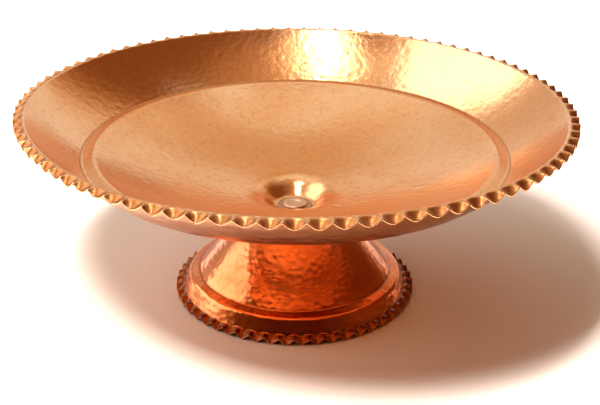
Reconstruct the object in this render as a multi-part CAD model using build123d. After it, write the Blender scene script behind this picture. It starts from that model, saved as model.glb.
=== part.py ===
from build123d import *

import os
from math import cos, hypot, pi, sin, sqrt

# Footed dish of hammered sheet copper: a wide shallow tray with a crimped rim, riveted at
# its centre onto a spreading foot whose edge is crimped too. Millimetres, +Z up. The
# origin is on the dish's axis, in the plane of the table that the foot stands on.
# Outlines are drawn as (radius, height) in the XZ plane and turned about the Z axis.

# Both sheets
SHEET = 1.0
HOLE_RADIUS = 3.1

# Tray: a concave well, a low ridge round it, a straight flare and a crimped rim
RIM_RADIUS = 190.0
RIM_MEAN_Z = 139.3
RIM_FLUTES = 90
RIM_FLUTE_HEIGHT = 1.25
LIP_RADIUS = 183.0
LIP_Z = 141.5
FLARE_BOW = 1.5
CREASE_RADIUS = 147.0
CREASE_Z = 107.2
CREASE_FILLET = 2.0
RIDGE_RADIUS = 138.8
RIDGE_Z = 110.0
RIDGE_FILLET = 3.0
WELL_CURVE_RADIUS = 279.0

# Dimple in the middle of the well, where the tray is drawn down onto the foot
DIMPLE_RADIUS = 27.0
DIMPLE_EDGE_FILLET = 3.5
DIMPLE_FLOOR_RADIUS = 14.2
DIMPLE_FLOOR_Z = 63.0
DIMPLE_FLOOR_FILLET = 3.0

# Foot: a seat nested under the dimple, a neck, a cone, a shoulder, a skirt and a flange
SEAT_RADIUS = 15.1
SEAT_FILLET = 3.0
NECK_INNER_RADIUS = 27.0
NECK_RADIUS = 30.0
NECK_TOP_Z = 72.5
NECK_TOP_FILLET = 1.8
NECK_CURVE_RADIUS = 14.0
NECK_CORNER_Z = 62.2
CONE_BASE_RADIUS = 69.0
CONE_BASE_Z = 15.4
CONE_BASE_FILLET = 1.6
SHOULDER_RADIUS = 75.6
SHOULDER_Z = 14.3
SHOULDER_FILLET = 3.0
SKIRT_RADIUS = 81.0
SKIRT_Z = 4.9
FLANGE_RADIUS = 86.8
FOOT_FLUTES = 52
FOOT_FLUTE_HEIGHT = 1.95
WORN_DEPTH = 0.3

# Rivet through the dimple, with a washer above the tray and one below the foot's seat
SHANK_RADIUS = 3.0
TOP_WASHER_RADIUS = 12.4
BACKING_WASHER_RADIUS = 10.0
WASHER_THICKNESS = 1.2
WASHER_EDGE = 0.4
HEAD_RADIUS = 8.5
HEAD_HEIGHT = 1.5
HEAD_EDGE = 0.7
HEAD_HOLLOW_RADIUS = 5.2
HEAD_HOLLOW_DEPTH = 0.8
TAIL_RADIUS = 5.6
TAIL_HEIGHT = 2.2
TAIL_CROWN = 1.2

# Heights that follow from the ones above
SEAT_Z = DIMPLE_FLOOR_Z - SHEET
BACKING_WASHER_Z = SEAT_Z - SHEET - WASHER_THICKNESS
FLANGE_MEAN_Z = FOOT_FLUTE_HEIGHT + SHEET - WORN_DEPTH

SPANS_PER_FLUTE = 8


def turned(outline):
    """Turn a closed (radius, height) outline into a solid about the Z axis."""
    return revolve(Plane.XZ * make_face(outline), Axis.Z)


def rounded(line, corners):
    """Round the corners of an open line, each given as (point, radius)."""
    wire = Wire(line.edges())
    for point, radius in corners:
        corner = wire.vertices().sort_by_distance(point)[0]
        wire = wire.fillet_2d(radius, [corner])
    return wire


def sheet_under(line):
    """Turn a sheet of metal whose upper face follows an open line, drawn outwards."""
    return turned(offset(line, SHEET, side=Side.RIGHT))


def reach(face):
    """Smallest distance from the Z axis to any corner of a face."""
    return min(hypot(corner.X, corner.Y) for corner in face.vertices())


def wave(radius, mean_z, height, flutes):
    """One flute of a wavy edge: height above mean_z is a cosine with its crest at +X."""
    step = 2 * pi / flutes / SPANS_PER_FLUTE
    half = SPANS_PER_FLUTE // 2
    angles = [step * i for i in range(-half, half + 1)]
    points = [(radius * cos(a), radius * sin(a), mean_z + height * cos(flutes * a)) for a in angles]
    ends = [(-sin(a), cos(a), 0) for a in (angles[0], angles[-1])]
    return Edge.make_spline(points, tangents=ends)


def arc_of_flute(corner, flutes):
    """Arc of one flute's width on the circle through a corner of the turned sheet."""
    half = 180 / flutes
    circle = Edge.make_circle(hypot(corner.X, corner.Y), start_angle=-half, end_angle=half)
    return circle.moved(Location((0, 0, corner.Z)))


def crimped(sheet, radius, mean_z, height, flutes):
    """Carry a turned sheet outwards into a crimped flange that ends at radius.

    Each flute has an upper and a lower face, ruled from the circles where the turned
    sheet ends to a wavy edge, and a narrow face between the two wavy edges. mean_z and
    height are the mean and the amplitude of the upper wavy edge.
    """
    end_wall = max(sheet.faces(), key=reach)
    lower, upper = sorted(end_wall.vertices(), key=lambda corner: corner.Z)
    upper_wave = wave(radius, mean_z, height, flutes)
    lower_wave = wave(radius, mean_z - SHEET, height, flutes)
    flute = [
        Face.make_surface_from_curves(arc_of_flute(upper, flutes), upper_wave),
        Face.make_surface_from_curves(arc_of_flute(lower, flutes), lower_wave),
        Face.make_surface_from_curves(upper_wave, lower_wave),
    ]
    ring = [face.rotate(Axis.Z, 360 / flutes * i) for i in range(flutes) for face in flute]
    kept = [face for face in sheet.faces() if reach(face) < reach(end_wall)]
    return Solid(Shell(kept + ring))


def well_z(radius):
    """Height of the well's upper face, one arc whose outer end is the ridge."""
    ridge_drop = sqrt(WELL_CURVE_RADIUS**2 - RIDGE_RADIUS**2)
    drop = sqrt(WELL_CURVE_RADIUS**2 - radius**2)
    return RIDGE_Z + ridge_drop - drop


def bowed(start, end, bow):
    """Arc between two points, its middle bow below the chord."""
    chord = hypot(end[0] - start[0], end[1] - start[1])
    across = bow / chord
    middle = (
        (start[0] + end[0]) / 2 + (end[1] - start[1]) * across,
        (start[1] + end[1]) / 2 - (end[0] - start[0]) * across,
    )
    return ThreePointArc(start, middle, end)


def tray_dish():
    """The tray, one sheet from the rivet's hole to the crimped rim."""
    hole = (HOLE_RADIUS, DIMPLE_FLOOR_Z)
    floor = (DIMPLE_FLOOR_RADIUS, DIMPLE_FLOOR_Z)
    dimple = (DIMPLE_RADIUS, well_z(DIMPLE_RADIUS))
    halfway = (DIMPLE_RADIUS + RIDGE_RADIUS) / 2
    ridge = (RIDGE_RADIUS, RIDGE_Z)
    crease = (CREASE_RADIUS, CREASE_Z)
    upper = Line(hole, floor) + Line(floor, dimple)
    upper += ThreePointArc(dimple, (halfway, well_z(halfway)), ridge)
    upper += Line(ridge, crease)
    upper += bowed(crease, (LIP_RADIUS, LIP_Z), FLARE_BOW)
    corners = [
        (floor, DIMPLE_FLOOR_FILLET),
        (dimple, DIMPLE_EDGE_FILLET),
        (ridge, RIDGE_FILLET),
        (crease, CREASE_FILLET),
    ]
    sheet = sheet_under(rounded(upper, corners))
    return crimped(sheet, RIM_RADIUS, RIM_MEAN_Z, RIM_FLUTE_HEIGHT, RIM_FLUTES)


def foot():
    """The foot, one sheet from the rivet's hole to the crimped flange, worn flat below."""
    upper = FilletPolyline(
        (HOLE_RADIUS, SEAT_Z),
        (SEAT_RADIUS, SEAT_Z),
        (NECK_INNER_RADIUS, NECK_TOP_Z),
        (NECK_RADIUS, NECK_TOP_Z),
        (NECK_RADIUS, NECK_CORNER_Z),
        (CONE_BASE_RADIUS, CONE_BASE_Z),
        (SHOULDER_RADIUS, SHOULDER_Z),
        (SKIRT_RADIUS, SKIRT_Z),
        radius=[
            SEAT_FILLET,
            NECK_TOP_FILLET,
            NECK_TOP_FILLET,
            NECK_CURVE_RADIUS,
            CONE_BASE_FILLET,
            SHOULDER_FILLET,
        ],
    )
    sheet = sheet_under(upper)
    whole = crimped(sheet, FLANGE_RADIUS, FLANGE_MEAN_Z, FOOT_FLUTE_HEIGHT, FOOT_FLUTES)
    return split(whole, bisect_by=Plane.XY, keep=Keep.TOP)


def washer(radius, bottom_z):
    """Flat round washer with its outer corners eased."""
    top_z = bottom_z + WASHER_THICKNESS
    outline = FilletPolyline(
        (HOLE_RADIUS, bottom_z),
        (radius, bottom_z),
        (radius, top_z),
        (HOLE_RADIUS, top_z),
        radius=WASHER_EDGE,
    )
    outline += Line((HOLE_RADIUS, top_z), (HOLE_RADIUS, bottom_z))
    return turned(outline)


def centre_rivet():
    """Rivet with a round head, hollowed a little on top, and a crowned tail below."""
    head_z = DIMPLE_FLOOR_Z + WASHER_THICKNESS
    top_z = head_z + HEAD_HEIGHT
    hollow_z = top_z - HEAD_HOLLOW_DEPTH
    tail_z = BACKING_WASHER_Z
    bottom_z = tail_z - TAIL_HEIGHT
    outline = FilletPolyline(
        (TAIL_RADIUS, bottom_z + TAIL_CROWN),
        (TAIL_RADIUS, tail_z),
        (SHANK_RADIUS, tail_z),
        (SHANK_RADIUS, head_z),
        (HEAD_RADIUS, head_z),
        (HEAD_RADIUS, top_z),
        (HEAD_HOLLOW_RADIUS, top_z),
        radius=[0, 0, 0, 0, HEAD_EDGE],
    )
    outline += TangentArc((0, hollow_z), (HEAD_HOLLOW_RADIUS, top_z), tangent=(1, 0))
    outline += Line((0, hollow_z), (0, bottom_z))
    outline += TangentArc((0, bottom_z), (TAIL_RADIUS, bottom_z + TAIL_CROWN), tangent=(1, 0))
    return turned(outline)


def main():
    """Build every sub-part and write it as parts/NAME.step."""
    os.makedirs("parts", exist_ok=True)
    pieces = {
        "tray_dish": tray_dish(),
        "foot": foot(),
        "top_washer": washer(TOP_WASHER_RADIUS, DIMPLE_FLOOR_Z),
        "backing_washer": washer(BACKING_WASHER_RADIUS, BACKING_WASHER_Z),
        "centre_rivet": centre_rivet(),
    }
    for name, piece in pieces.items():
        piece.label = name
        export_step(piece, os.path.join("parts", name + ".step"))


main()
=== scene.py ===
"""A footed dish of hammered sheet copper: a wide crimped tray, riveted onto a flared foot.

Lengths inside the classes are millimetres, as a coppersmith would quote them; meshes are in metres.
"""

import logging
import math
from dataclasses import dataclass
from enum import Enum

import bpy
import numpy as np
from mathutils import Matrix, Vector

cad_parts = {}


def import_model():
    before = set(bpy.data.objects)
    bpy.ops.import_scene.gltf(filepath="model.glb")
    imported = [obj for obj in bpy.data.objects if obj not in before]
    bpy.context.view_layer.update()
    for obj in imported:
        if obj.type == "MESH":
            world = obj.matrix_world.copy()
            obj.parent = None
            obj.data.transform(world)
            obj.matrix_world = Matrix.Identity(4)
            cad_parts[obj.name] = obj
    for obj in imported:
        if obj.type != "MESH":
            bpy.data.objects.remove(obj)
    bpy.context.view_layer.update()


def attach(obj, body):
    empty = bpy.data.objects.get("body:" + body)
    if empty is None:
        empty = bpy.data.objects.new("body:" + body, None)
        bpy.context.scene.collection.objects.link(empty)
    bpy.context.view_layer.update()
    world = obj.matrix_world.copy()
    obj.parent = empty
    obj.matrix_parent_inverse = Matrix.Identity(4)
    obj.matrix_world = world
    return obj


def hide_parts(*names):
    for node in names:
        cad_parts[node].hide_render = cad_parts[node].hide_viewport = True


LOG = logging.getLogger("copper_dish")
MM = 0.001
TURN = 2 * math.pi


# ---------------------------------------------------------------------------
# Lines and sections
# ---------------------------------------------------------------------------


def straight(start: tuple[float, float], end: tuple[float, float], step: float = 0.1) -> np.ndarray:
    """Points evenly spaced along the chord from start to end.

    Args:
        start: First (radius, height).
        end: Last (radius, height).
        step: Greatest distance between neighbours.

    Returns:
        An array of (radius, height) rows.
    """
    count = max(2, int(math.dist(start, end) / step) + 1)
    share = np.linspace(0.0, 1.0, count)[:, None]
    return (1 - share) * np.array(start) + share * np.array(end)


def bowed(start: tuple[float, float], end: tuple[float, float], bow: float) -> np.ndarray:
    """The chord from start to end, moved to its right by bow times 1 - (2t - 1) squared.

    Args:
        start: First (radius, height).
        end: Last (radius, height).
        bow: How far the middle stands off the chord.

    Returns:
        An array of (radius, height) rows.
    """
    line = straight(start, end)
    share = np.linspace(-1.0, 1.0, len(line))
    along = (line[-1] - line[0]) / np.linalg.norm(line[-1] - line[0])
    right = np.array([along[1], -along[0]])
    return line + bow * (1 - share**2)[:, None] * right


def joined(curves: list[np.ndarray], radii: list[float]) -> np.ndarray:
    """Curves end to end, each corner between two of them rounded by a circular arc.

    The arc of a corner that turns by an angle starts and ends radius * tan(angle / 2) from it.

    Args:
        curves: Arrays of (radius, height) rows, each ending where the next starts.
        radii: One rounding radius per corner.

    Returns:
        One array of (radius, height) rows.
    """
    parts = [curves[0]]
    for curve, radius in zip(curves[1:], radii, strict=True):
        before = parts.pop()
        corner = curve[0]
        into = before[-1] - before[-2]
        away = curve[1] - curve[0]
        into = into / np.linalg.norm(into)
        away = away / np.linalg.norm(away)
        turn = math.acos(float(np.clip(into @ away, -1, 1)))
        reach = radius * math.tan(turn / 2)
        side = math.copysign(1.0, into[0] * away[1] - into[1] * away[0])
        centre = corner - reach * into + side * radius * np.array([-into[1], into[0]])
        angles = side * np.linspace(0.0, turn, max(3, int(turn * radius / 0.1)))
        spoke = corner - reach * into - centre
        arc = centre + np.stack(
            [
                np.cos(angles) * spoke[0] - np.sin(angles) * spoke[1],
                np.sin(angles) * spoke[0] + np.cos(angles) * spoke[1],
            ],
            axis=1,
        )
        parts.append(before[np.linalg.norm(before - corner, axis=1) > reach])
        parts.append(arc)
        parts.append(curve[np.linalg.norm(curve - corner, axis=1) > reach])
    return np.concatenate(parts)


@dataclass(frozen=True)
class Profile:
    """A smooth open line in (radius, height), read by its length from the start."""

    line: np.ndarray

    @property
    def lengths(self) -> np.ndarray:
        """Length along the line at each of its points."""
        steps = np.linalg.norm(np.diff(self.line, axis=0), axis=1)
        return np.concatenate([[0.0], np.cumsum(steps)])

    def at(self, along: np.ndarray) -> tuple[np.ndarray, np.ndarray]:
        """Radius and height at given lengths along the line."""
        lengths = self.lengths
        return np.interp(along, lengths, self.line[:, 0]), np.interp(along, lengths, self.line[:, 1])

    def normal(self, along: np.ndarray) -> tuple[np.ndarray, np.ndarray]:
        """Unit normal at given lengths: the tangent turned a quarter turn to the left."""
        before, after = self.at(along - 0.15), self.at(along + 0.15)
        across = np.stack([before[1] - after[1], after[0] - before[0]])
        across = across / np.linalg.norm(across, axis=0)
        return across[0], across[1]

    def stations(self, spacing: list[tuple[float, float]]) -> np.ndarray:
        """Lengths along the line whose gaps follow a spacing given by radius.

        The count of gaps up to a point is the integral of 1 / spacing.

        Args:
            spacing: (radius, gap) pairs; the gap is interpolated between them.

        Returns:
            Increasing lengths from the start to the end of the line.
        """
        lengths = self.lengths
        radii, gaps = np.array(spacing).T
        density = 1 / np.interp(self.line[:, 0], radii, gaps)
        steps = np.diff(lengths) * (density[1:] + density[:-1]) / 2
        total = np.concatenate([[0.0], np.cumsum(steps)])
        return np.interp(np.linspace(0.0, total[-1], round(total[-1]) + 1), total, lengths)


@dataclass(frozen=True)
class Section:
    """The closed section of a turned sheet: one entry per ring of points round the axis."""

    along: np.ndarray
    radius: np.ndarray
    height: np.ndarray
    out_r: np.ndarray
    out_z: np.ndarray
    face: np.ndarray
    count: np.ndarray

    def flat(self) -> tuple[np.ndarray, np.ndarray]:
        """For every point of the shell, its ring's number and its angle round the axis."""
        ring = np.repeat(np.arange(len(self.count)), self.count)
        first = np.concatenate([[0], np.cumsum(self.count)])[:-1]
        step = np.arange(len(ring)) - first[ring]
        return ring, TURN * step / self.count[ring]


def band(first: int, n: int, second: int, m: int) -> list[np.ndarray]:
    """Faces between two neighbouring rings whose counts are equal, or one twice the other.

    Args:
        first: Number of the first ring's first point.
        n: Points in the first ring.
        second: Number of the second ring's first point.
        m: Points in the second ring.

    Returns:
        Arrays of faces, one row of point numbers each.
    """
    if n == m:
        k = np.arange(n)
        after = (k + 1) % n
        return [np.stack([first + k, second + k, second + after, first + after], axis=1)]
    k = np.arange(min(n, m))
    after = (k + 1) % len(k)
    twice, between, beyond = 2 * k, 2 * k + 1, 2 * after
    if m == 2 * n:
        a, b = first + k, first + after
        p, q, r = second + twice, second + between, second + beyond
        rows = [(a, p, q), (a, q, b), (b, q, r)]
    elif n == 2 * m:
        a, b = second + k, second + after
        p, q, r = first + twice, first + between, first + beyond
        rows = [(p, a, q), (q, a, b), (q, b, r)]
    else:
        raise ValueError(f"rings of {n} and {m} points can't be joined")
    return [np.stack(row, axis=1) for row in rows]


def fan(pole: int, first: int, n: int, upward: bool) -> list[np.ndarray]:
    """Faces from a point on the axis to a ring round it."""
    k = np.arange(n)
    after = (k + 1) % n
    centre = np.full(n, pole)
    row = (centre, first + k, first + after) if upward else (first + k, centre, first + after)
    return [np.stack(row, axis=1)]


def shell(name: str, points: np.ndarray, count: np.ndarray, closed: bool) -> bpy.types.Object:
    """A smooth mesh from rings of points; a ring of one point is a pole on the axis.

    Args:
        name: Name of the piece.
        points: One row per point, in millimetres, ring after ring.
        count: Points in each ring.
        closed: Whether the last ring joins the first.

    Returns:
        The mesh object, linked to the scene, with its place in its mesh.
    """
    first = np.concatenate([[0], np.cumsum(count)])[:-1]
    pairs = [(i, i + 1) for i in range(len(count) - 1)]
    if closed:
        pairs.append((len(count) - 1, 0))
    faces: list[np.ndarray] = []
    for i, j in pairs:
        if count[i] == 1:
            faces += fan(first[i], first[j], count[j], upward=True)
        elif count[j] == 1:
            faces += fan(first[j], first[i], count[i], upward=False)
        else:
            faces += band(first[i], count[i], first[j], count[j])
    corners = np.concatenate([f.ravel() for f in faces]).astype(np.int32)
    sizes = np.concatenate([np.full(len(f), f.shape[1]) for f in faces]).astype(np.int32)
    mesh = bpy.data.meshes.new(name)
    mesh.vertices.add(len(points))
    mesh.vertices.foreach_set("co", (points * MM).astype(np.float32).ravel())
    mesh.loops.add(len(corners))
    mesh.loops.foreach_set("vertex_index", corners)
    mesh.polygons.add(len(sizes))
    mesh.polygons.foreach_set("loop_start", np.concatenate([[0], np.cumsum(sizes)[:-1]]).astype(np.int32))
    mesh.polygons.foreach_set("use_smooth", np.ones(len(sizes), bool))
    mesh.update(calc_edges=True)
    mesh.validate()
    piece = bpy.data.objects.new(name, mesh)
    bpy.context.scene.collection.objects.link(piece)
    return piece


# ---------------------------------------------------------------------------
# Hand work: hammer marks and the warp of a hand-held sheet
# ---------------------------------------------------------------------------


@dataclass(frozen=True)
class HammerMarks:
    """Marks left by a planishing hammer, laid in rings round the dish, each a shallow hollow.

    A point belongs to the nearest mark centre; its depth there is 1 minus the squared distance
    in units of the mark's half size, plus a small random tilt of the whole mark. The drifts are
    how far a centre may stray, in units of the mark's size.
    """

    length: float
    width: float
    depth: float
    tilt: float
    seed: int
    drift_round: float = 0.38
    drift_along: float = 0.36
    mean_weight: float = 0.75
    weight_spread: float = 0.35
    reach: float = 2.5

    def height(
        self, along: np.ndarray, radius: np.ndarray, angle: np.ndarray, profile: Profile
    ) -> np.ndarray:
        """Height of the hammered face over the smooth one, in millimetres.

        Args:
            along: Length along the profile at each point.
            radius: Radius of each point.
            angle: Angle of each point.
            profile: The line that the marks' rings lie on.

        Returns:
            One height per point, between about -depth and depth.
        """
        rings = int(profile.lengths[-1] / self.width) + 2
        ring_radius, _ = profile.at(self.width * np.arange(rings))
        marks = np.maximum(5, np.round(TURN * ring_radius / self.length).astype(int))
        dice = np.random.default_rng(self.seed)
        off_round, off_along, slope_round, slope_along, weight = dice.uniform(
            -1, 1, (5, rings, int(marks.max()))
        )
        nearest = np.full(len(along), np.inf)
        height = np.zeros(len(along))
        for step in (-1, 0, 1):
            ring = np.clip(np.round(along / self.width).astype(int) + step, 0, rings - 1)
            for hop in (-1, 0, 1):
                place = np.floor(angle / TURN * marks[ring]).astype(int) + hop
                mark = place % marks[ring]
                centre = (place + 0.5 + self.drift_round * off_round[ring, mark]) * TURN / marks[ring]
                round_it = radius * (angle - centre) / (self.length / 2)
                level = self.width * (ring + self.drift_along * off_along[ring, mark])
                across_it = (along - level) / (self.width / 2)
                far = round_it**2 + across_it**2
                lean = slope_round[ring, mark] * round_it + slope_along[ring, mark] * across_it
                strength = self.mean_weight + self.weight_spread * weight[ring, mark]
                hollow = strength * (np.minimum(far, self.reach) - 1)
                here = self.depth * hollow + self.tilt * lean
                closer = far < nearest
                nearest = np.where(closer, far, nearest)
                height = np.where(closer, here, height)
        return height


@dataclass(frozen=True)
class Warp:
    """Slow unevenness of a hand-made round sheet: wide bumps round the axis that grow outwards.

    Each bump is (direction in degrees, half width in degrees, size in millimetres).
    """

    lift: tuple[tuple[float, float, float], ...]
    spread: tuple[tuple[float, float, float], ...]
    start: float
    end: float

    @staticmethod
    def bumps(shapes: tuple[tuple[float, float, float], ...], angle: np.ndarray) -> np.ndarray:
        """Sum of size * exp(-(turn from the bump's direction / its half width) squared)."""
        total = np.zeros(len(angle))
        for direction, half_width, size in shapes:
            turn = (np.degrees(angle) - direction + 180) % 360 - 180
            total += size * np.exp(-((turn / half_width) ** 2))
        return total

    def move(self, radius: np.ndarray, angle: np.ndarray) -> tuple[np.ndarray, np.ndarray]:
        """Change of radius and of height at each point: the bumps times a ramp squared."""
        ramp = np.clip((radius - self.start) / (self.end - self.start), 0, None) ** 2
        return ramp * self.bumps(self.spread, angle), ramp * self.bumps(self.lift, angle)


@dataclass(frozen=True)
class Crimp:
    """A sheet's edge pinched into flutes from one radius to the next.

    Height over the smooth flange goes from crest to trough with pocket(angle) times fall(radius). The
    pocket is 0 on a crest and 1 in a trough: 1 - (1 - t) ** sharpness, where t climbs evenly from
    the crest to the trough. The fall is 1 - (1 - u) ** scoop, where u goes from 0 to 1 outwards.
    """

    start: float
    end: float
    flutes: int
    crest: float
    trough: float
    sharpness: float
    scoop: float
    unevenness: float
    seed: int
    overrun: float = 1.1

    def reach(self, radius: np.ndarray) -> np.ndarray:
        """How far out each radius lies: 0 at the start of the flange, 1 at its end."""
        return np.clip((radius - self.start) / (self.end - self.start), 0, self.overrun)

    def offset(self, radius: np.ndarray, angle: np.ndarray) -> np.ndarray:
        """Height over the smooth flange, in millimetres.

        Args:
            radius: Radius of each point before it is crimped.
            angle: Angle of each point.

        Returns:
            One height per point, crest on the crests and trough in the troughs at the edge.
        """
        dice = np.random.default_rng(self.seed)
        uneven = 1 + self.unevenness * dice.uniform(-1, 1, self.flutes)
        flute = np.floor(self.flutes * angle / TURN).astype(int) % self.flutes
        deep = (self.trough - self.crest) * uneven[flute]
        return self.crest * self.reach(radius) + deep * self.pocket(radius, angle)

    def pocket(self, radius: np.ndarray, angle: np.ndarray) -> np.ndarray:
        """How far each point lies in a pocket: 0 on a crest, 1 in a trough at the edge."""
        climb = 1 - np.abs(1 - 2 * ((self.flutes * angle / TURN) % 1.0))
        fall = 1 - np.clip(1 - self.reach(radius), 0, 1) ** self.scoop
        return (1 - (1 - climb) ** self.sharpness) * fall


# ---------------------------------------------------------------------------
# Shader arithmetic
# ---------------------------------------------------------------------------


class Field:
    """A number that varies over a surface: the output socket of a node, with arithmetic."""

    def __init__(self, tree: bpy.types.NodeTree, socket: bpy.types.NodeSocket) -> None:
        """Keep the tree and the socket."""
        self.tree = tree
        self.socket = socket

    def math(self, operation: str, *others: "Field | float") -> "Field":
        """A Math node on this value and others.

        Args:
            operation: The node's operation.
            others: The second and third inputs.

        Returns:
            The node's result.
        """
        node = self.tree.nodes.new("ShaderNodeMath")
        node.operation = operation
        for place, value in zip(node.inputs, (self, *others)):
            if isinstance(value, Field):
                self.tree.links.new(value.socket, place)
            else:
                place.default_value = value
        return Field(self.tree, node.outputs[0])

    def __add__(self, other: "Field | float") -> "Field":
        """Sum."""
        return self.math("ADD", other)

    def __mul__(self, other: "Field | float") -> "Field":
        """Product."""
        return self.math("MULTIPLY", other)

    def __sub__(self, other: "Field | float") -> "Field":
        """Difference."""
        return self.math("SUBTRACT", other)

    def __rsub__(self, other: float) -> "Field":
        """A number minus this value."""
        return (self * -1.0) + other

    def __pow__(self, power: float) -> "Field":
        """Power."""
        return self.math("POWER", power)

    __radd__ = __add__
    __rmul__ = __mul__

    def ramped(self, low: float, high: float) -> "Field":
        """0 at low, 1 at high, smooth between."""
        node = self.tree.nodes.new("ShaderNodeMapRange")
        node.interpolation_type = "SMOOTHSTEP"
        self.tree.links.new(self.socket, node.inputs["Value"])
        node.inputs["From Min"].default_value = low
        node.inputs["From Max"].default_value = high
        return Field(self.tree, node.outputs["Result"])


class Workbench:
    """The node tree of one material or of the world, emptied and ready for new nodes."""

    def __init__(self, tree: bpy.types.NodeTree) -> None:
        """Empty the tree."""
        self.tree = tree
        tree.nodes.clear()

    def make(
        self,
        kind: str,
        settings: dict[str, object] | None = None,
        sockets: dict[str | int, object] | None = None,
        out: str | int = 0,
    ) -> Field:
        """A node of any kind.

        Args:
            kind: The node's type.
            settings: Properties, set first; "stops" holds a ramp's (position, colour) pairs.
            sockets: Values or links of its inputs, by name or number.
            out: Which output to return.

        Returns:
            That output.
        """
        node = self.tree.nodes.new(kind)
        for key, value in (settings or {}).items():
            if key == "stops":
                ramp = node.color_ramp.elements
                while len(ramp) < len(value):
                    ramp.new(1.0)
                for stop, (place, colour) in zip(ramp, value):
                    stop.position = place
                    stop.color = (*colour, 1.0)
            else:
                setattr(node, key, value)
        for key, value in (sockets or {}).items():
            if isinstance(value, Field):
                self.tree.links.new(value.socket, node.inputs[key])
            else:
                node.inputs[key].default_value = value
        return Field(self.tree, node.outputs[out]) if len(node.outputs) else Field(self.tree, None)

    def mixed(self, share: Field | float, first: object, second: object) -> Field:
        """A colour mixed from two, by a share of the second.

        Args:
            share: 0 for the first colour, 1 for the second.
            first: A colour, or a field of colour.
            second: A colour, or a field of colour.

        Returns:
            The mixed colour.
        """
        colours = {
            6: first if isinstance(first, Field) else (*first, 1.0),
            7: second if isinstance(second, Field) else (*second, 1.0),
        }
        return self.make("ShaderNodeMix", {"data_type": "RGBA"}, {0: share, **colours}, out=2)

    def parts(self, vector: Field) -> tuple[Field, Field, Field]:
        """The three numbers of a vector."""
        node = self.tree.nodes.new("ShaderNodeSeparateXYZ")
        self.tree.links.new(vector.socket, node.inputs[0])
        return tuple(Field(self.tree, socket) for socket in node.outputs)


# ---------------------------------------------------------------------------
# Finishes
# ---------------------------------------------------------------------------


@dataclass(frozen=True)
class CopperFinish:
    """Hammered copper: two tints in clouds, brown flecks, painted shade in hollows, fine marks and
    scratches.

    Scales are in patterns per metre, and mark_depth and grain in metres. A sheet's lower face
    has a darker tint of its own: a painted shade.
    """

    name: str
    bright: tuple[float, float, float]
    deep: tuple[float, float, float]
    brown: tuple[float, float, float]
    brown_and_shade_strength: float
    roughness: float
    roughness_spread: float
    mark_scale: float
    mark_depth: float
    grain: float
    pocket_shade: float = 0.0
    underside_shade: tuple[float, float, float] = (0.50, 0.30, 0.20)
    cloud_scale: float = 14.0
    fleck_scale: float = 260.0
    scratch_scale: float = 900.0
    fleck_brown: float = 0.2475
    mark_brown: float = 0.2
    dirt_and_shade_roughness: float = 0.12

    def hollows(self, bench: Workbench, radius: Field, height: Field) -> Field:
        """Where painted shade darkens this piece: nowhere, on plain copper."""
        return radius * 0.0

    def material(self) -> bpy.types.Material:
        """Build the material.

        Returns:
            A material whose colour, roughness and normal vary over the surface.
        """
        material = bpy.data.materials.new(self.name)
        material.use_nodes = True
        bench = Workbench(material.node_tree)
        place = bench.make("ShaderNodeTexCoord", out="Object")
        x, y, height = bench.parts(place)
        radius = (x * x + y * y) ** 0.5
        clouds = bench.make(
            "ShaderNodeTexNoise",
            sockets={"Vector": place, "Scale": self.cloud_scale, "Detail": 4.0, "Roughness": 0.6},
        )
        flecks = bench.make(
            "ShaderNodeTexNoise",
            sockets={"Vector": place, "Scale": self.fleck_scale, "Detail": 3.0, "Roughness": 0.7},
        )
        marks = bench.make(
            "ShaderNodeTexVoronoi",
            {"feature": "SMOOTH_F1"},
            {"Vector": place, "Scale": self.mark_scale, "Smoothness": 0.35, "Randomness": 1.0},
            out="Distance",
        )
        scratches = bench.make(
            "ShaderNodeTexNoise",
            sockets={
                "Vector": place,
                "Scale": self.scratch_scale,
                "Detail": 2.0,
                "Roughness": 0.5,
                "Distortion": 0.6,
            },
        )
        tint = bench.mixed(clouds.ramped(0.32, 0.68), self.bright, self.deep)
        spotted = flecks.ramped(0.60, 0.78) * self.fleck_brown
        pocket = bench.make("ShaderNodeAttribute", {"attribute_name": "pocket"}, out="Fac")
        edge = bench.make("ShaderNodeAttribute", {"attribute_name": "edge"}, out="Fac")
        # Painted shade: the piece's own shaded places and the flutes' pockets, kept off the rounded edge.
        shade_share = self.hollows(bench, radius, height) + pocket.ramped(0.0, 0.3) * self.pocket_shade
        worn = marks.ramped(0.5, 0.9) * self.mark_brown
        # Darkening towards brown: painted shade, together with real brown flecks and brown between the
        # hammer marks.
        dirt_and_shade = ((shade_share * (1 - edge) + spotted + worn) * self.brown_and_shade_strength).math("MINIMUM", 1.0)
        # The lower face gets its own darker tint: a painted shade.
        underside_shade = bench.make("ShaderNodeAttribute", {"attribute_name": "below"}, out="Fac")
        tint = bench.mixed(underside_shade, tint, self.underside_shade)
        colour = bench.mixed(dirt_and_shade, tint, self.brown)
        gloss = clouds.ramped(0.3, 0.75) * self.roughness_spread + flecks * (self.roughness_spread * 0.6)
        roughness = gloss + dirt_and_shade * self.dirt_and_shade_roughness + self.roughness
        relief = marks * self.mark_depth + flecks * (self.grain * 0.6) + scratches * (self.grain * 0.25)
        bump = bench.make("ShaderNodeBump", sockets={"Height": relief, "Strength": 1.0, "Distance": 1.0})
        shader = bench.make(
            "ShaderNodeBsdfPrincipled",
            sockets={"Base Color": colour, "Metallic": 1.0, "Roughness": roughness, "Normal": bump},
        )
        bench.make("ShaderNodeOutputMaterial", sockets={"Surface": shader})
        return material


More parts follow.
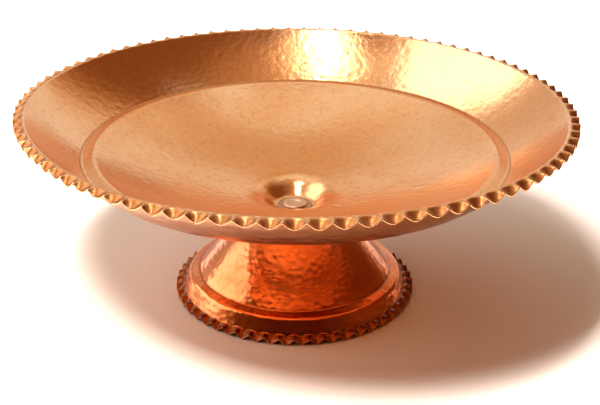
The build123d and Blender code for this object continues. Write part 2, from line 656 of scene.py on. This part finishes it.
@dataclass(frozen=True)
class TrayFinish(CopperFinish):
    """The tray's copper, with painted shade in the crease round the well and in the dimple."""

    crease: float = 0.1475
    dimple: float = 0.018
    dimple_wall: float = 0.012
    crease_shade: float = 0.8
    dimple_shade: float = 0.1

    def hollows(self, bench: Workbench, radius: Field, height: Field) -> Field:
        """Rings of painted shade: 1 - ramp(distance from the crease), and the same round the dimple."""
        groove = 1 - (radius - self.crease).math("ABSOLUTE").ramped(0.0002, 0.0011)
        pit = 1 - radius.ramped(self.dimple, self.dimple + self.dimple_wall)
        return groove * self.crease_shade + pit * self.dimple_shade


@dataclass(frozen=True)
class FootFinish(CopperFinish):
    """The foot's copper, with painted shade at the neck, in the groove over the shoulder and at the
    flange.
    """

    groove: float = 0.0692
    flange: float = 0.081
    groove_shade: float = 0.5
    flange_shade: float = 0.9
    neck_shade: float = 0.5
    cone_shade: float = 0.16

    def hollows(self, bench: Workbench, radius: Field, height: Field) -> Field:
        """Painted shade in the groove, at the foot of the skirt and up the neck, and a little on the cone.
        """
        ring = 1 - (radius - self.groove).math("ABSOLUTE").ramped(0.0003, 0.0016)
        edge = radius.ramped(self.flange - 0.002, self.flange + 0.0015)
        neck = height.ramped(0.040, 0.066)
        cone = height.ramped(0.018, 0.026)
        low = ring * self.groove_shade + edge * self.flange_shade
        return low + neck * self.neck_shade + cone * self.cone_shade


@dataclass(frozen=True)
class FloorFinish:
    """A pale matt floor with a faint cloudiness, glowing white where it is far away (a painted light) and
    painted darker in front of the dish (a painted shadow).
    """

    pale: tuple[float, float, float] = (0.78, 0.69, 0.60)
    paler: tuple[float, float, float] = (0.81, 0.73, 0.64)
    glow: tuple[float, float, float] = (0.90, 0.90, 0.90)
    shade: tuple[float, float, float] = (0.10, 0.07, 0.05)
    dimming: float = 0.75
    near: float = 0.22
    far: float = 0.9

    def material(self) -> bpy.types.Material:
        """Build the material."""
        material = bpy.data.materials.new("pale_floor")
        material.use_nodes = True
        bench = Workbench(material.node_tree)
        place = bench.make("ShaderNodeTexCoord", out="Object")
        clouds = bench.make("ShaderNodeTexNoise", sockets={"Vector": place, "Scale": 3.0, "Detail": 3.0})
        colour = bench.mixed(clouds, self.pale, self.paler)
        x, y, _ = bench.parts(place)
        distance = ((x * x + y * y) ** 0.5).ramped(self.near, self.far)
        # Painted light: the floor glows, more far from the dish and less in front of it.
        share = distance * (1 - (1 - y.ramped(-0.9, -0.1)) * self.dimming)
        glow = bench.mixed(share, (0.0, 0.0, 0.0), self.glow)
        # Painted shadow: in front of the dish the floor's colour goes towards the shade colour.
        colour = bench.mixed((1 - y.ramped(-0.6, -0.16)) * self.dimming, colour, self.shade)
        shader = bench.make(
            "ShaderNodeBsdfPrincipled",
            sockets={
                "Base Color": colour,
                "Roughness": 0.75,
                "Emission Color": glow,
                "Emission Strength": 1.0,
            },
        )
        bench.make("ShaderNodeOutputMaterial", sockets={"Surface": shader})
        return material


def dress(piece: bpy.types.Object, material: bpy.types.Material) -> None:
    """Give a piece one material."""
    piece.data.materials.clear()
    piece.data.materials.append(material)


# ---------------------------------------------------------------------------
# The dish
# ---------------------------------------------------------------------------


class Face(Enum):
    """Which face of the sheet a ring of points lies on."""

    UPPER = 1
    EDGE = 0
    LOWER = -1


@dataclass(frozen=True)
class HammeredSheet:
    """A turned sheet of even thickness, hammered on both faces and crimped at its edge."""

    node: str
    slot: str
    finish: CopperFinish
    thickness: float
    marks: HammerMarks
    marks_below: HammerMarks
    warp: Warp
    crimp: Crimp
    spacing: tuple[tuple[float, float], ...]
    spacing_below: tuple[tuple[float, float], ...]
    counts: tuple[tuple[float, int], ...]
    counts_below: tuple[tuple[float, int], ...]
    smooth_inside: float
    fade_width: float = 4.0
    rim_marks: float = 0.15

    def profile(self) -> Profile:
        """The sheet's upper or outer face, from the rivet's hole to the smooth flange's edge."""
        raise NotImplementedError

    def section(self) -> Section:
        """Rings round the closed section: the upper face, the rounded edge, and the lower face back.

        A ring on the lower face is the upper line moved by the thickness against its normal; the
        edge is half a circle of half the thickness.

        Returns:
            The closed section.
        """
        profile = self.profile()
        over = profile.stations(list(self.spacing))
        under = profile.stations(list(self.spacing_below))[::-1]
        turns = np.radians([60.0, 0.0, -60.0])
        along = np.concatenate([over, np.full(len(turns), over[-1]), under])
        sides = [(Face.UPPER, len(over)), (Face.EDGE, len(turns)), (Face.LOWER, len(under))]
        face = np.concatenate([np.full(rings, side.value) for side, rings in sides])
        radius, height = profile.at(along)
        out_r, out_z = profile.normal(np.clip(along, 0.2, over[-1] - 0.2))
        half = self.thickness / 2
        lower = face == Face.LOWER.value
        radius = np.where(lower, radius - self.thickness * out_r, radius)
        height = np.where(lower, height - self.thickness * out_z, height)
        rim = face == Face.EDGE.value
        mid_r, mid_z = radius[rim] - half * out_r[rim], height[rim] - half * out_z[rim]
        edge_r = mid_r + half * (np.sin(turns) * out_r[rim] + np.cos(turns) * out_z[rim])
        edge_z = mid_z + half * (np.sin(turns) * out_z[rim] - np.cos(turns) * out_r[rim])
        radius[rim], height[rim] = edge_r, edge_z
        radius = np.maximum(radius, profile.line[0, 0])
        fine, coarse = self.rings_of(radius, self.counts), self.rings_of(radius, self.counts_below)
        count = np.where(lower, coarse, fine)
        return Section(along, radius, height, out_r, out_z, face, count)

    @staticmethod
    def rings_of(radius: np.ndarray, counts: tuple[tuple[float, int], ...]) -> np.ndarray:
        """Points per ring: the count of the last limit that the radius has passed."""
        limits, numbers = np.array(counts).T
        return numbers[np.searchsorted(limits, radius, side="right") - 1].astype(int)

    def points(self, section: Section) -> np.ndarray:
        """Every point of the shell.

        A point is its ring's (radius, height), moved along the face's normal by the hammer marks,
        warped, crimped, and turned to its angle.

        Args:
            section: The closed section.

        Returns:
            One row per point, in millimetres.
        """
        ring, angle = section.flat()
        profile = self.profile()
        along, radius = section.along[ring], section.radius[ring]
        height, face = section.height[ring], section.face[ring]
        above = self.marks.height(along, radius, angle, profile)
        below = self.marks_below.height(along, radius, angle, profile)
        fade = np.clip((radius - self.smooth_inside) / self.fade_width, 0, 1)
        inwards = (self.crimp.end - radius) / (self.crimp.end - self.crimp.start)
        fade = fade * np.clip(inwards, self.rim_marks, 1)
        beaten = fade * np.where(face == Face.UPPER.value, above, 0.0)
        beaten -= fade * np.where(face == Face.LOWER.value, below, 0.0)
        wide, high = self.warp.move(radius, angle)
        pinch = self.crimp.offset(radius, angle)
        away = radius + beaten * section.out_r[ring] + wide
        up = height + beaten * section.out_z[ring] + high + pinch
        return np.stack([away * np.cos(angle), away * np.sin(angle), np.maximum(up, 0.0)], axis=1)

    def build(self) -> bpy.types.Object:
        """Make the shell, dress it and put it in the CAD node's place.

        Returns:
            The finished piece.
        """
        section = self.section()
        piece = shell(self.node + "_hammered", self.points(section), section.count, closed=True)
        ring, angle = section.flat()
        # Masks for the material's painted shade: the rounded edge is kept out of it, the flutes' pockets
        # and the lower face get it.
        edge = (section.face[ring] == Face.EDGE.value).astype(np.float32)
        below = (section.face[ring] == Face.LOWER.value).astype(np.float32)
        pocket = self.crimp.pocket(section.radius[ring], angle) * (1 - edge)
        for name, values in (("pocket", pocket), ("edge", edge), ("below", below)):
            layer = piece.data.attributes.new(name, "FLOAT", "POINT")
            layer.data.foreach_set("value", values.astype(np.float32))
        dress(piece, self.finish.material())
        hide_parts(self.node)
        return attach(piece, "root")


@dataclass(frozen=True)
class Tray(HammeredSheet):
    """The tray: a dimple, a concave well, a low ridge, a straight flare and a crimped rim."""

    well_curve: float = 279.0
    ridge: tuple[float, float] = (138.8, 110.0)
    crease: tuple[float, float] = (147.0, 107.2)
    lip: tuple[float, float] = (183.0, 141.5)
    rim: float = 190.0
    flare_bow: float = 1.5
    dimple: float = 27.0
    dimple_floor: tuple[float, float] = (14.2, 63.0)
    hole: float = 3.1

    def well(self, radius: np.ndarray | float) -> np.ndarray:
        """Height of the well: the ridge's height plus the fall of a sphere's arc."""
        sphere = self.well_curve**2
        return self.ridge[1] + np.sqrt(sphere - self.ridge[0] ** 2) - np.sqrt(sphere - np.square(radius))

    def profile(self) -> Profile:
        """The upper face: floor and wall of the dimple, the well's arc, the ridge, the flare, the rim."""
        across = np.linspace(self.dimple, self.ridge[0], 1200)
        well = np.stack([across, self.well(across)], axis=1)
        floor = straight((self.hole, self.dimple_floor[1]), self.dimple_floor)
        wall = straight(self.dimple_floor, tuple(well[0]))
        step = straight(self.ridge, self.crease)
        flare = bowed(self.crease, self.lip, self.flare_bow)
        rim = straight(self.lip, (self.rim - 0.5, self.lip[1] - 0.4))
        line = joined([floor, wall, well, step, flare, rim], [8.0, 26.0, 3.0, 1.0, 1.2])
        return Profile(line)


@dataclass(frozen=True)
class Foot(HammeredSheet):
    """The foot: a seat under the dimple, a neck, a cone, a shoulder, a skirt and a crimped flange."""

    corners: tuple[tuple[float, float], ...] = (
        (3.1, 62.0),
        (15.1, 62.0),
        (27.0, 72.5),
        (30.0, 72.5),
        (30.0, 62.2),
        (69.0, 15.4),
        (75.6, 14.3),
        (81.0, 4.9),
        (86.3, 3.3),
    )
    radii: tuple[float, ...] = (3.0, 1.8, 1.8, 14.0, 1.0, 3.4, 1.2)

    def profile(self) -> Profile:
        """The outer face, a line through the corners with each one rounded."""
        sides = [straight(a, b) for a, b in zip(self.corners, self.corners[1:])]
        return Profile(joined(sides, list(self.radii)))


@dataclass(frozen=True)
class TurnedPiece:
    """A small solid of revolution with light tool marks."""

    node: str
    slot: str
    finish: CopperFinish
    corners: tuple[tuple[float, float], ...]
    radii: tuple[float, ...]
    rings: int
    segments: int
    dents: float
    seed: int

    def outline(self) -> np.ndarray:
        """(radius, height) rows along the outline, evenly spaced by length."""
        sides = [straight(a, b, 0.05) for a, b in zip(self.corners, self.corners[1:])]
        profile = Profile(joined(sides, list(self.radii)))
        radius, height = profile.at(np.linspace(0, profile.lengths[-1], self.rings))
        return np.stack([radius, height], axis=1)

    def points(self, outline: np.ndarray) -> tuple[np.ndarray, np.ndarray]:
        """Points round the outline, each moved by a few random waves of the angle and the height.

        Args:
            outline: (radius, height) rows.

        Returns:
            The points, in millimetres, and the count of points per ring.
        """
        count = np.where(outline[:, 0] < 0.01, 1, self.segments)
        ring = np.repeat(np.arange(len(outline)), count)
        first = np.concatenate([[0], np.cumsum(count)])[:-1]
        angle = TURN * (np.arange(len(ring)) - first[ring]) / count[ring]
        radius, height = outline[ring].T
        dice = np.random.default_rng(self.seed)
        waves, phases = dice.integers(2, 9, 6), dice.uniform(0, TURN, 6)
        ripple = sum(
            np.cos(n * angle + p + 1.7 * height + 0.9 * radius) for n, p in zip(waves, phases, strict=True)
        )
        shift = self.dents * ripple / len(waves) * np.clip(radius / 3, 0, 1)
        away = radius + shift * 0.6
        return np.stack([away * np.cos(angle), away * np.sin(angle), height + shift * 0.5], axis=1), count

    def build(self) -> bpy.types.Object:
        """Make the piece, dress it and put it in the CAD node's place."""
        points, count = self.points(self.outline())
        piece = shell(self.node + "_worn", points, count, closed=self.corners[0][0] > 0.01)
        dress(piece, self.finish.material())
        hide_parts(self.node)
        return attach(piece, "root")


# ---------------------------------------------------------------------------
# The studio
# ---------------------------------------------------------------------------


@dataclass(frozen=True)
class StripLamp:
    """A long soft lamp over the dish: place, width and length in metres, beam in degrees.

    A lamp with a narrowed beam is aimed at the dish's foot, and an open one hangs level.
    """

    name: str
    place: tuple[float, float, float]
    size: tuple[float, float]
    power: float
    beam: float
    mirrored: bool

    def build(self) -> None:
        """Hang the lamp; one that isn't mirrored lights the scene but leaves no highlight."""
        light = bpy.data.lights.new(self.name, "AREA")
        light.shape = "RECTANGLE"
        light.size, light.size_y = self.size
        light.energy = self.power
        light.spread = math.radians(self.beam)
        lamp = bpy.data.objects.new(self.name, light)
        lamp.location = self.place
        if self.beam < 180:
            lamp.rotation_euler = Vector(self.place).to_track_quat("Z", "Y").to_euler()
        lamp.visible_camera = False
        lamp.visible_glossy = self.mirrored
        bpy.context.scene.collection.objects.link(lamp)


@dataclass(frozen=True)
class FarLight:
    """A far round light: its direction from the dish, strength, and width in degrees."""

    name: str
    towards: tuple[float, float, float]
    strength: float
    spread: float

    def build(self) -> None:
        """Set the light up."""
        light = bpy.data.lights.new(self.name, "SUN")
        light.energy = self.strength
        light.angle = math.radians(self.spread)
        lamp = bpy.data.objects.new(self.name, light)
        lamp.rotation_euler = Vector(self.towards).to_track_quat("Z", "Y").to_euler()
        lamp.location = 2 * Vector(self.towards)
        bpy.context.scene.collection.objects.link(lamp)


@dataclass(frozen=True)
class Studio:
    """A pale floor, strip lamps overhead, a broad window at the left and a dim room at the right."""

    floor_radius: float = 12.0
    floor_rings: int = 24
    floor_segments: int = 96
    lights: tuple[StripLamp | FarLight, ...] = (
        StripLamp("strip_lamp", (-0.145, -0.22, 1.15), (0.13, 0.62), 3.4, 180.0, mirrored=True),
        StripLamp("floor_lamp", (-0.23, -0.36, 0.92), (0.20, 0.40), 12.0, 100.0, mirrored=False),
        FarLight("window_light", (-0.80, 0.18, 0.57), 1.25, 56.0),
    )
    gloom: tuple[float, float, float] = (0.09, 0.022, 0.007)
    halo: tuple[float, float, float] = (0.60, 0.34, 0.16)
    shelf: tuple[float, float, float] = (0.72, 0.50, 0.30)
    corner: tuple[float, float, float] = (0.68, 0.52, 0.42)
    ceiling: tuple[float, float, float] = (1.02, 1.02, 1.0)
    wall: tuple[tuple[float, tuple[float, float, float]], ...] = (
        (0.0, (0.24, 0.085, 0.022)),
        (0.35, (0.50, 0.25, 0.11)),
        (0.6, (0.76, 0.56, 0.38)),
        (0.8, (0.86, 0.72, 0.56)),
        (1.0, (0.92, 0.86, 0.80)),
    )

    def floor(self) -> bpy.types.Object:
        """A round floor: rings of points whose radii grow by powers, at height 0."""
        radii = np.concatenate([[0.0], self.floor_radius * np.linspace(0.05, 1.0, self.floor_rings) ** 2])
        count = np.where(radii == 0, 1, self.floor_segments)
        ring = np.repeat(np.arange(len(radii)), count)
        first = np.concatenate([[0], np.cumsum(count)])[:-1]
        angle = TURN * (np.arange(len(ring)) - first[ring]) / count[ring]
        away = radii[ring] / MM
        points = np.stack([away * np.cos(angle), away * np.sin(angle), 0 * away], axis=1)
        piece = shell("floor", points, count, closed=False)
        dress(piece, FloorFinish().material())
        return piece

    def room(self) -> None:
        """Light from the room: pale behind and at the left, warm and dim at the right and in front.

        The level is a ramp over y - 0.9 x, times a ramp over y; seen directly the room is plain.
        """
        world = bpy.data.worlds.new("studio_room")
        world.use_nodes = True
        bpy.context.scene.world = world
        bench = Workbench(world.node_tree)
        direction = bench.make("ShaderNodeTexCoord", out="Generated")
        x, y, z = bench.parts(direction)
        level = (y - x * 0.9).ramped(-0.15, 0.45) * y.ramped(-0.45, -0.1)
        wall = bench.make("ShaderNodeValToRGB", {"stops": self.wall}, {"Fac": level})
        middle = (1 - (x - 0.04).math("ABSOLUTE").ramped(0.10, 0.32)) * z.ramped(0.45, 0.62)
        tint = bench.mixed(middle * (1 - z.ramped(0.78, 0.9)) * y.ramped(0.3, 0.6), wall, self.shelf)
        corner = (1 - x.ramped(-0.5, -0.1)) * y.ramped(0.45, 0.75)
        tint = bench.mixed(corner * 0.85, tint, self.corner)
        tint = bench.mixed(z.ramped(0.86, 0.98) * 0.8, tint, self.halo)
        tint = bench.mixed(z.ramped(0.80, 0.93) * y.ramped(0.1, 0.3), tint, self.ceiling)
        tint = bench.mixed(1 - y.ramped(-0.9, -0.2), tint, self.gloom)
        seen = bench.make("ShaderNodeLightPath", out="Is Camera Ray")
        lit = bench.make("ShaderNodeBackground", sockets={"Color": tint, "Strength": 1.0})
        plain = bench.make("ShaderNodeBackground", sockets={"Color": (0.97, 0.96, 0.95, 1.0)})
        both = bench.make("ShaderNodeMixShader", sockets={0: seen, 1: lit, 2: plain})
        bench.make("ShaderNodeOutputWorld", sockets={"Surface": both})

    def build(self) -> None:
        """Lay the floor, set the lights up and light the room."""
        self.floor()
        for light in self.lights:
            light.build()
        self.room()


@dataclass(frozen=True)
class Viewpoint:
    """The camera: where it stands, its axes and its lens."""

    position: tuple[float, float, float] = (0.0, -0.69316, 0.38466)
    right: tuple[float, float, float] = (0.99996, -0.00109, 0.00879)
    up: tuple[float, float, float] = (-0.00752, 0.41850, 0.90818)
    forward: tuple[float, float, float] = (0.0046673, 0.9082154, -0.418477)
    lens: float = 64.164

    def build(self) -> None:
        """Set the camera up and make it the scene's."""
        data = bpy.data.cameras.new("camera")
        data.lens = self.lens
        data.sensor_width = 36.0
        data.clip_start = 0.01
        camera = bpy.data.objects.new("camera", data)
        axes = Matrix((self.right, self.up, [-part for part in self.forward])).transposed()
        camera.matrix_world = Matrix.Translation(self.position) @ axes.to_4x4()
        bpy.context.scene.collection.objects.link(camera)
        bpy.context.scene.camera = camera


# ---------------------------------------------------------------------------
# Sizes and finishes of this dish
# ---------------------------------------------------------------------------

TRAY_COPPER = TrayFinish(
    name="tray_copper",
    bright=(0.94, 0.53, 0.27),
    deep=(0.90, 0.44, 0.18),
    brown=(0.42, 0.14, 0.04),
    underside_shade=(0.58, 0.24, 0.09),
    brown_and_shade_strength=0.8,
    roughness=0.13,
    roughness_spread=0.10,
    mark_scale=300.0,
    mark_depth=0.00006,
    grain=0.00001,
    pocket_shade=1.1,
)

FOOT_COPPER = FootFinish(
    name="foot_copper",
    bright=(0.84, 0.29, 0.11),
    deep=(0.64, 0.14, 0.03),
    brown=(0.18, 0.045, 0.012),
    underside_shade=(0.50, 0.20, 0.08),
    brown_and_shade_strength=1.0,
    roughness=0.10,
    roughness_spread=0.08,
    mark_scale=300.0,
    mark_depth=0.00007,
    grain=0.00001,
    pocket_shade=0.8,
)

WASHER_COPPER = CopperFinish(
    name="washer_copper",
    bright=(0.55, 0.37, 0.23),
    deep=(0.44, 0.27, 0.16),
    brown=(0.25, 0.16, 0.11),
    brown_and_shade_strength=1.2,
    roughness=0.30,
    roughness_spread=0.15,
    mark_scale=420.0,
    mark_depth=0.00006,
    grain=0.00004,
)

RIVET_COPPER = CopperFinish(
    name="rivet_copper",
    bright=(0.85, 0.60, 0.42),
    deep=(0.74, 0.45, 0.28),
    brown=(0.30, 0.18, 0.12),
    brown_and_shade_strength=1.0,
    roughness=0.22,
    roughness_spread=0.15,
    mark_scale=500.0,
    mark_depth=0.00008,
    grain=0.00004,
)


def tray() -> Tray:
    """The tray with its sizes."""
    return Tray(
        node="tray_dish",
        slot="tray_copper",
        finish=TRAY_COPPER,
        thickness=1.0,
        marks=HammerMarks(length=6.5, width=4.0, depth=0.055, tilt=0.022, seed=11),
        marks_below=HammerMarks(length=14.0, width=5.0, depth=0.16, tilt=0.05, seed=12),
        warp=Warp(
            lift=((75.0, 40.0, 0.5), (215.0, 30.0, -0.4)),
            spread=((212.0, 22.0, -3.2), (285.0, 30.0, 0.6), (135.0, 30.0, -0.8)),
            start=60.0,
            end=190.0,
        ),
        crimp=Crimp(
            start=183.0,
            end=189.5,
            flutes=90,
            crest=0.3,
            trough=-3.6,
            sharpness=1.7,
            scoop=1.25,
            unevenness=0.12,
            seed=21,
        ),
        spacing=(
            (3, 2.2), (12, 1.2), (15, 1.0), (34, 1.5), (40, 2.5), (130, 2.5), (136, 1.3), (150, 1.3),
            (156, 2.0), (180, 2.0), (183, 1.0), (190, 1.0),
        ),
        spacing_below=(
            (3, 4.0), (28, 2.4), (40, 5.0), (130, 5.0), (140, 2.6), (150, 2.6), (156, 3.0), (180, 3.0),
            (184, 2.2), (190, 2.2),
        ),
        counts=((0, 180), (28, 360), (84, 720), (183, 1440)),
        counts_below=((0, 180), (28, 360), (176, 720), (183, 1440)),
        smooth_inside=12.0,
    )


def foot() -> Foot:
    """The foot with its sizes."""
    return Foot(
        node="foot",
        slot="foot_copper",
        finish=FOOT_COPPER,
        thickness=1.0,
        marks=HammerMarks(length=6.0, width=4.0, depth=0.085, tilt=0.03, seed=31),
        marks_below=HammerMarks(length=7.0, width=6.0, depth=0.05, tilt=0.02, seed=32),
        warp=Warp(lift=(), spread=((30.0, 50.0, 0.3), (230.0, 40.0, -0.4)), start=20.0, end=87.0),
        crimp=Crimp(
            start=80.5,
            end=86.3,
            flutes=52,
            crest=1.25,
            trough=-2.6,
            sharpness=1.0,
            scoop=1.2,
            unevenness=0.10,
            seed=41,
        ),
        spacing=(
            (3, 2.5), (12, 2.0), (24, 1.0), (31, 1.0), (40, 1.1), (66, 1.1), (68, 0.8), (78, 0.9),
            (80, 0.7), (87, 0.6),
        ),
        spacing_below=((3, 4.0), (24, 2.0), (31, 2.0), (40, 3.0), (66, 2.5), (78, 1.5), (87, 1.2)),
        counts=((0, 208), (27, 416), (80.0, 832)),
        counts_below=((0, 208), (27, 416), (80.0, 832)),
        smooth_inside=12.0,
    )


def small_parts() -> list[TurnedPiece]:
    """The rivet and its two washers with their sizes."""
    rivet = TurnedPiece(
        node="centre_rivet",
        slot="rivet_copper",
        finish=RIVET_COPPER,
        corners=(
            (0.0, 64.8), (3.6, 64.9), (5.2, 65.7), (8.5, 65.6), (8.5, 64.2), (3.0, 64.2), (3.0, 59.8),
            (5.6, 59.8), (5.6, 58.6), (0.0, 57.6),
        ),
        radii=(1.0, 0.6, 0.7, 0.2, 0.3, 0.3, 0.3, 0.5),
        rings=90,
        segments=96,
        dents=0.16,
        seed=51,
    )
    top = TurnedPiece(
        node="top_washer",
        slot="washer_copper",
        finish=WASHER_COPPER,
        corners=((3.1, 64.2), (12.4, 64.2), (12.4, 63.0), (3.1, 63.0)),
        radii=(0.45, 0.3),
        rings=40,
        segments=120,
        dents=0.10,
        seed=52,
    )
    backing = TurnedPiece(
        node="backing_washer",
        slot="washer_copper",
        finish=WASHER_COPPER,
        corners=((3.1, 61.0), (10.0, 61.0), (10.0, 59.8), (3.1, 59.8)),
        radii=(0.3, 0.45),
        rings=40,
        segments=120,
        dents=0.10,
        seed=53,
    )
    return [rivet, top, backing]


def triangles(piece: bpy.types.Object) -> int:
    """Triangles in a piece: the corners of each face, less two, added up."""
    sizes = np.zeros(len(piece.data.polygons), np.int32)
    piece.data.polygons.foreach_get("loop_total", sizes)
    return int((sizes - 2).sum())


def main() -> None:
    """Build the dish piece by piece, then the studio and the camera."""
    logging.basicConfig(level=logging.INFO, format="%(name)s: %(message)s")
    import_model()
    for part in [tray(), foot(), *small_parts()]:
        piece = part.build()
        LOG.info("%s: %d triangles", piece.name, triangles(piece))
    Studio().build()
    Viewpoint().build()
    bpy.context.scene.view_settings.view_transform = "Standard"


if __name__ == "__main__":
    main()
